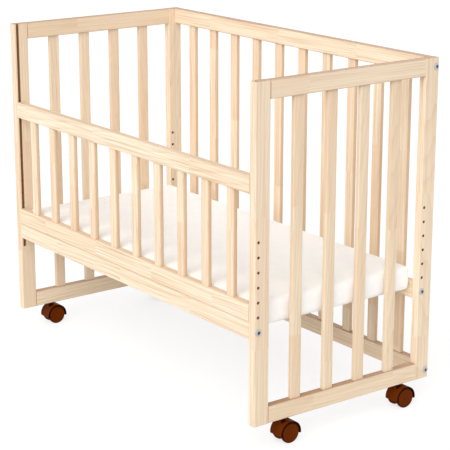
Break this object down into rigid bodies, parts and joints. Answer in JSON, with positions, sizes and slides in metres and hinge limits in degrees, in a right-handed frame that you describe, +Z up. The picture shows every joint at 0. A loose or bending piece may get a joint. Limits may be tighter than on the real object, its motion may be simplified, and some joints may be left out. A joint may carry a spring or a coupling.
{
  "type": "bedside sleeper crib",
  "caption": "Slatted wooden crib to stand beside a bed, with a low front panel that slides in grooves, a base bolted at a chosen height, a mattress and swivel casters.",
  "frame": {"origin": "on the floor under the middle of the crib, at the bottom centre of its bounding box", "axes": "+X along the crib's length, towards its right end seen from the front; -Y towards the parents' bed, which the low front panel faces; +Z up"},
  "size_m": [0.998, 0.496, 0.7835],
  "materials": {
    "pine": "satin",
    "steel": "satin",
    "mattress_cover": "matte",
    "caster_plastic": "gloss"
  },
  "bodies": {
    "frame": {"front_left_post": "pine", "front_right_post": "pine", "rear_left_post": "pine", "rear_right_post": "pine", "left_end_top_rail": "pine", "left_end_bottom_rail": "pine", "left_end_slats": "pine", "right_end_top_rail": "pine", "right_end_bottom_rail": "pine", "right_end_slats": "pine", "rear_top_rail": "pine", "rear_bottom_rail": "pine", "rear_slat_1": "pine", "rear_slat_2": "pine", "rear_slat_3": "pine", "rear_slat_4": "pine", "rear_slat_5": "pine", "rear_slat_6": "pine", "rear_slat_7": "pine", "rear_slat_8": "pine", "rear_slat_9": "pine", "rear_slat_10": "pine", "rear_panel_bolts": "steel", "rear_panel_nuts": "steel", "caster_sockets": "caster_plastic"},
    "base": {"base_front_rail": "pine", "base_rear_rail": "pine", "base_slats": "pine", "mattress": "mattress_cover", "base_bolts": "steel", "base_nuts": "steel"},
    "front_panel": {"front_top_rail": "pine", "front_bottom_rail": "pine", "front_slat_1": "pine", "front_slat_2": "pine", "front_slat_3": "pine", "front_slat_4": "pine", "front_slat_5": "pine", "front_slat_6": "pine", "front_slat_7": "pine", "front_slat_8": "pine", "front_slat_9": "pine", "front_slat_10": "pine", "front_guide_pins": "steel"},
    "caster_front_left": {"caster_front_left_hood": "caster_plastic", "caster_front_left_pins": "steel"},
    "caster_front_left_left": {"caster_front_left_wheel_left": "caster_plastic"},
    "caster_front_left_right": {"caster_front_left_wheel_right": "caster_plastic"},
    "caster_front_right": {"caster_front_right_hood": "caster_plastic", "caster_front_right_pins": "steel"},
    "caster_front_right_left": {"caster_front_right_wheel_left": "caster_plastic"},
    "caster_front_right_right": {"caster_front_right_wheel_right": "caster_plastic"},
    "caster_rear_left": {"caster_rear_left_hood": "caster_plastic", "caster_rear_left_pins": "steel"},
    "caster_rear_left_left": {"caster_rear_left_wheel_left": "caster_plastic"},
    "caster_rear_left_right": {"caster_rear_left_wheel_right": "caster_plastic"},
    "caster_rear_right": {"caster_rear_right_hood": "caster_plastic", "caster_rear_right_pins": "steel"},
    "caster_rear_right_left": {"caster_rear_right_wheel_left": "caster_plastic"},
    "caster_rear_right_right": {"caster_rear_right_wheel_right": "caster_plastic"}
  },
  "joints": [
    {"name": "base_height", "type": "slide", "parent": "frame", "child": "base", "axis": [0, 0, 1], "range_m": [0, 0.192]},
    {"name": "front_panel_lift", "type": "slide", "parent": "base", "child": "front_panel", "axis": [0, 0, 1], "range_m": [0, 0.288]},
    {"name": "caster_front_left_swivel", "type": "hinge", "parent": "frame", "child": "caster_front_left", "pos_m": [-0.48, -0.165, 0.0225], "axis": [0, 0, 1], "continuous": true},
    {"name": "caster_front_left_left_spin", "type": "hinge", "parent": "caster_front_left", "child": "caster_front_left_left", "pos_m": [-0.48, -0.155, 0.0225], "axis": [1, 0, 0], "continuous": true},
    {"name": "caster_front_left_right_spin", "type": "hinge", "parent": "caster_front_left", "child": "caster_front_left_right", "pos_m": [-0.48, -0.155, 0.0225], "axis": [1, 0, 0], "continuous": true},
    {"name": "caster_front_right_swivel", "type": "hinge", "parent": "frame", "child": "caster_front_right", "pos_m": [0.48, -0.165, 0.0225], "axis": [0, 0, 1], "continuous": true},
    {"name": "caster_front_right_left_spin", "type": "hinge", "parent": "caster_front_right", "child": "caster_front_right_left", "pos_m": [0.48, -0.155, 0.0225], "axis": [1, 0, 0], "continuous": true},
    {"name": "caster_front_right_right_spin", "type": "hinge", "parent": "caster_front_right", "child": "caster_front_right_right", "pos_m": [0.48, -0.155, 0.0225], "axis": [1, 0, 0], "continuous": true},
    {"name": "caster_rear_left_swivel", "type": "hinge", "parent": "frame", "child": "caster_rear_left", "pos_m": [-0.48, 0.165, 0.0225], "axis": [0, 0, 1], "continuous": true},
    {"name": "caster_rear_left_left_spin", "type": "hinge", "parent": "caster_rear_left", "child": "caster_rear_left_left", "pos_m": [-0.48, 0.175, 0.0225], "axis": [1, 0, 0], "continuous": true},
    {"name": "caster_rear_left_right_spin", "type": "hinge", "parent": "caster_rear_left", "child": "caster_rear_left_right", "pos_m": [-0.48, 0.175, 0.0225], "axis": [1, 0, 0], "continuous": true},
    {"name": "caster_rear_right_swivel", "type": "hinge", "parent": "frame", "child": "caster_rear_right", "pos_m": [0.48, 0.165, 0.0225], "axis": [0, 0, 1], "continuous": true},
    {"name": "caster_rear_right_left_spin", "type": "hinge", "parent": "caster_rear_right", "child": "caster_rear_right_left", "pos_m": [0.48, 0.175, 0.0225], "axis": [1, 0, 0], "continuous": true},
    {"name": "caster_rear_right_right_spin", "type": "hinge", "parent": "caster_rear_right", "child": "caster_rear_right_right", "pos_m": [0.48, 0.175, 0.0225], "axis": [1, 0, 0], "continuous": true}
  ]
}
